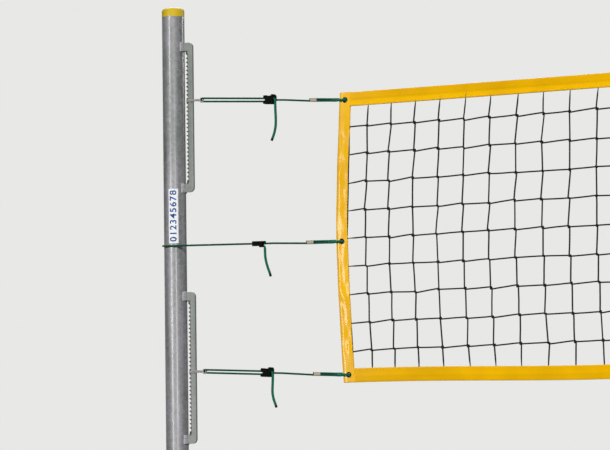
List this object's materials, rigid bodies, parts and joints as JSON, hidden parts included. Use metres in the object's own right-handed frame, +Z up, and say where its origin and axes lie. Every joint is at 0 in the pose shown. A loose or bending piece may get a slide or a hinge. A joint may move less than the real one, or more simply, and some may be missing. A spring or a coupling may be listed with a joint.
{
  "type": "volleyball net on poles",
  "caption": "Volleyball net with coated edge tapes, hung between socketed steel posts by cord tensioners and wire hooks that sit in notched height rails.",
  "frame": {"origin": "on the left post's axis at the court's surface, at the mouth of the left ground sleeve", "axes": "+X along the net from the left post to the right post, +Z up, -Y towards the viewer"},
  "size_m": [9.9282, 0.0938, 3.053],
  "materials": {
    "galvanised": "hot-dip galvanised, mottled",
    "cap": "satin",
    "sleeve": "galvanised",
    "rail": "galvanised",
    "wire": "bright zinc",
    "cord": "braided",
    "cleat": "satin",
    "ferrule": "dull",
    "eyelet": "dark",
    "tape": "coated cloth, glossy",
    "twine": "knotted"
  },
  "bodies": {
    "frame": {"left_post_tube": "galvanised", "left_post_cap": "cap", "left_ground_sleeve": "sleeve", "left_upper_rail": "rail", "left_lower_rail": "rail", "right_post_tube": "galvanised", "right_post_cap": "cap", "right_ground_sleeve": "sleeve", "right_upper_rail": "rail", "right_lower_rail": "rail"},
    "net": {"netting": "twine", "top_tape": "tape", "bottom_tape": "tape", "left_side_tape": "tape", "left_eyelets": "eyelet", "left_ferrules": "ferrule", "left_middle_post_loop": "cord", "left_upper_net_cord": "cord", "left_middle_net_cord": "cord", "left_lower_net_cord": "cord", "right_side_tape": "tape", "right_eyelets": "eyelet", "right_ferrules": "ferrule", "right_middle_post_loop": "cord", "right_upper_net_cord": "cord", "right_middle_net_cord": "cord", "right_lower_net_cord": "cord"},
    "left_upper_hook": {"left_upper_hook": "wire", "left_upper_hook_loop": "cord"},
    "left_lower_hook": {"left_lower_hook": "wire", "left_lower_hook_loop": "cord"},
    "left_upper_tensioner": {"left_upper_tensioner": "cleat", "left_upper_tail": "cord"},
    "left_middle_tensioner": {"left_middle_tensioner": "cleat", "left_middle_tail": "cord"},
    "left_lower_tensioner": {"left_lower_tensioner": "cleat", "left_lower_tail": "cord"},
    "right_upper_hook": {"right_upper_hook": "wire", "right_upper_hook_loop": "cord"},
    "right_lower_hook": {"right_lower_hook": "wire", "right_lower_hook_loop": "cord"},
    "right_upper_tensioner": {"right_upper_tensioner": "cleat", "right_upper_tail": "cord"},
    "right_middle_tensioner": {"right_middle_tensioner": "cleat", "right_middle_tail": "cord"},
    "right_lower_tensioner": {"right_lower_tensioner": "cleat", "right_lower_tail": "cord"}
  },
  "joints": [
    {"name": "net_height", "type": "slide", "parent": "frame", "child": "net", "axis": [0, 0, 1], "range_m": [-0.105, 0.165]},
    {"name": "left_upper_hook_release", "type": "slide", "parent": "net", "child": "left_upper_hook", "axis": [-0.9977, 0, 0.0685], "range_m": [0, 0.0065]},
    {"name": "left_lower_hook_release", "type": "slide", "parent": "net", "child": "left_lower_hook", "axis": [-0.9985, 0, 0.0545], "range_m": [0, 0.0065]},
    {"name": "left_upper_tension", "type": "slide", "parent": "net", "child": "left_upper_tensioner", "axis": [0.9977, 0, -0.0685], "range_m": [0, 0.03]},
    {"name": "left_middle_tension", "type": "slide", "parent": "net", "child": "left_middle_tensioner", "axis": [0.9997, 0, -0.0262], "range_m": [0, 0.03]},
    {"name": "left_lower_tension", "type": "slide", "parent": "net", "child": "left_lower_tensioner", "axis": [0.9985, 0, -0.0545], "range_m": [0, 0.03]},
    {"name": "right_upper_hook_release", "type": "slide", "parent": "net", "child": "right_upper_hook", "axis": [0.9977, 0, 0.0685], "range_m": [0, 0.0065]},
    {"name": "right_lower_hook_release", "type": "slide", "parent": "net", "child": "right_lower_hook", "axis": [0.9985, 0, 0.0545], "range_m": [0, 0.0065]},
    {"name": "right_upper_tension", "type": "slide", "parent": "net", "child": "right_upper_tensioner", "axis": [-0.9977, 0, -0.0685], "range_m": [0, 0.03]},
    {"name": "right_middle_tension", "type": "slide", "parent": "net", "child": "right_middle_tensioner", "axis": [-0.9997, 0, -0.0262], "range_m": [0, 0.03]},
    {"name": "right_lower_tension", "type": "slide", "parent": "net", "child": "right_lower_tensioner", "axis": [-0.9985, 0, -0.0545], "range_m": [0, 0.03]}
  ]
}
